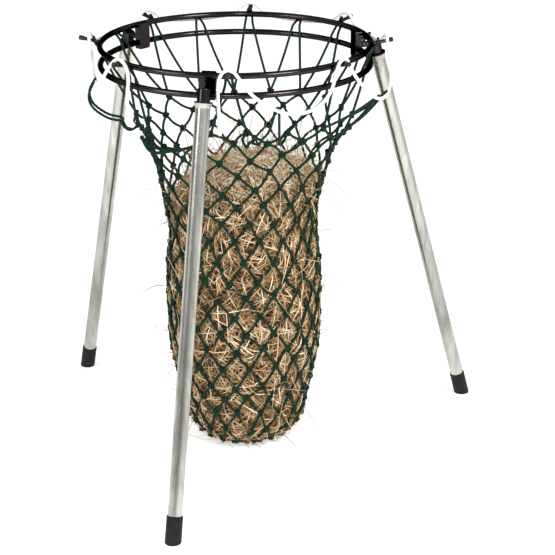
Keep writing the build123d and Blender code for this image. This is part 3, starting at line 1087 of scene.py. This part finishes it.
def pick_places(random):
    """Where each straw starts, then each stray: the more area round a place, the likelier."""
    wide = np.linalg.norm(np.roll(hay_places, -1, axis=1) - hay_places, axis=2)
    tall = np.linalg.norm(np.gradient(hay_places, axis=0), axis=2)
    area = (wide * tall).ravel()
    chances = area / area.sum()
    crown = hay_places[..., 2].ravel() > HAY_SHOULDER
    stray_chances = chances * np.where(crown, CROWN_STRAYS, 1)
    return np.concatenate((
        random.choice(crown.size, STRAWS, p=chances),
        random.choice(crown.size, STRAYS, p=stray_chances / stray_chances.sum()),
    ))


def lying_straw(random, place, along, out, bend, depth):
    """The line, width and tone of a straw that lies along the hay."""
    length, width = random.gamma(*STRAW_LENGTH), random.uniform(*STRAW_WIDTH)
    lift = random.normal(0.0, STRAW_LIFT)
    # painted light: straws paler towards the heap's top
    crown_light = np.interp(place[2], (HAY_SHOULDER, CROWN), (0, CROWN_PAINTED_LIGHT))
    # painted shade: straws darker the deeper they lie, round a random spread
    tone = np.clip(random.normal(DEEP_SHADE_TONE + DEPTH_SHADE_LIFT * depth, TONE_SPREAD) + crown_light, 0, 1)
    line = straw_line(place, along, out, length, STRAW_BEHIND, bend, lift)
    if random.uniform() > CROSSING_SHARE:
        return tucked(line, out), width, tone
    return line + out * ROPE * CROSSING_OUT, width, tone


def stray_straw(random, place, along, out, bend, is_long):
    """The line, width and tone of a straw that sticks out."""
    along = unit(along + out * random.uniform(*STRAY_OUT))
    length, width = random.gamma(*STRAY_LENGTH), random.uniform(*STRAY_WIDTH)
    lift, tone = random.uniform(*STRAY_LIFT), random.uniform(*STRAY_TONE)
    if is_long:
        along = unit(along + out * random.uniform(*LONG_OUT))
        length, width = random.uniform(*LONG_LENGTH), LONG_WIDTH
        tone = random.uniform(*LONG_TONE)
    line = straw_line(place, along, out, length, STRAY_BEHIND, bend * STRAY_BEND, lift)
    return line + out * ROPE * CROSSING_OUT, width, tone


def scatter_straws():
    """The loose straws over the hay, and the strays that stick out through the net."""
    random = np.random.default_rng(HAY_SEED)
    stocks = [MeshStock() for _ in range(STRAW_PIECES)]
    flat_places = hay_places.reshape(-1, 3)
    flat_out = hay_outward.reshape(-1, 3)
    for number, pick in enumerate(pick_places(random)):
        out = flat_out[pick]
        level = unit(np.cross(out, (0.0, 0.0, 1.0)) + (1e-6, 0, 0))
        up = np.cross(level, out)
        turn = random.uniform(0, 2 * pi)
        along = level * cos(turn) + up * sin(turn)
        depth = random.uniform(0, 1)
        bend = random.normal(0, STRAW_BEND)
        place = flat_places[pick] + out * CORE_DEPTH * (depth - CORE_SHARE)
        if number < STRAWS:
            line, width, tone = lying_straw(random, place, along, out, bend, depth)
        else:
            is_long = number >= STRAWS + STRAYS - LONG_STRAYS
            line, width, tone = stray_straw(random, place, along, out, bend, is_long)
        line[:, 2] = np.maximum(line[:, 2], FLOOR_CLEAR)
        add_straw(stocks[number % STRAW_PIECES], line, out, width, tone)
    for number, stock in enumerate(stocks, start=1):
        stock.make(f"hay_straws_{number}", STRAW, "hay", smooth=False)


make_hay_core()
scatter_straws()


# ------------ camera, floor, light
def make_camera():
    """A long lens a little above the hoops, looking down at the bag."""
    tilt = radians(CAMERA_DOWN)
    ahead = Vector((0, cos(tilt), -sin(tilt)))
    level = Vector((1, 0, 0))
    top = level.cross(ahead)
    roll = radians(CAMERA_ROLL)
    right = level * cos(roll) + top * sin(roll)
    up = top * cos(roll) - level * sin(roll)
    axes = Matrix((right, up, -ahead)).transposed()
    camera = bpy.data.cameras.new("camera")
    camera.lens = CAMERA_LENS
    camera.sensor_width = 36
    holder = bpy.data.objects.new("camera", camera)
    holder.matrix_world = Matrix.Translation(CAMERA_PLACE) @ axes.to_4x4()
    bpy.context.collection.objects.link(holder)
    bpy.context.scene.camera = holder


def make_floor():
    """A wide plain floor."""
    size = FLOOR_REACH
    mesh = bpy.data.meshes.new("floor")
    mesh.from_pydata([(-size, -size, 0), (size, -size, 0), (size, size, 0), (-size, size, 0)], [],
                     [(0, 1, 2, 3)])
    mesh.materials.append(pale_floor())
    floor = bpy.data.objects.new("floor", mesh)
    bpy.context.collection.objects.link(floor)


def add_softbox(name, place, target, size, power):
    """A square area light that faces its target."""
    light = bpy.data.lights.new(name, "AREA")
    light.shape = "SQUARE"
    light.size = size
    light.energy = power
    lamp = bpy.data.objects.new(name, light)
    aim = Vector(target) - Vector(place)
    lamp.rotation_euler = aim.to_track_quat("-Z", "Y").to_euler()
    lamp.location = place
    bpy.context.collection.objects.link(lamp)


def make_surround():
    """A surround that the camera sees as white and the object as upright grey bands."""
    world = bpy.data.worlds.new("studio")
    world.use_nodes = True
    wiring = Wiring(world.node_tree)
    split = wiring.node("SeparateXYZ")
    wiring.link(wiring.node("TexCoord").outputs["Generated"], split.inputs["Vector"])
    span = wiring.node("MapRange", From_Min=-1)
    wiring.link(split.outputs["X"], span.inputs["Value"])
    greys = [(place, (grey, grey, grey)) for place, grey in WORLD_BANDS]
    glow = wiring.node("Background", Strength=WORLD_GLOW)
    wiring.link(wiring.ramp(span.outputs["Result"], *greys), glow.inputs["Color"])
    seen = wiring.tree.nodes["Background"]
    seen.inputs["Color"].default_value = (1, 1, 1, 1)
    mix = wiring.node("MixShader")
    wiring.link(wiring.node("LightPath").outputs["Is Camera Ray"], mix.inputs["Fac"])
    wiring.link(glow.outputs["Background"], mix.inputs[1])
    wiring.link(seen.outputs["Background"], mix.inputs[2])
    wiring.link(mix.outputs["Shader"], wiring.tree.nodes["World Output"].inputs["Surface"])
    bpy.context.scene.world = world


def light_scene():
    """The surround and the softboxes, with colours shown as they are."""
    make_surround()
    for softbox in SOFTBOXES:
        add_softbox(*softbox)
    bpy.context.scene.view_settings.view_transform = "Standard"


make_camera()
make_floor()
light_scene()
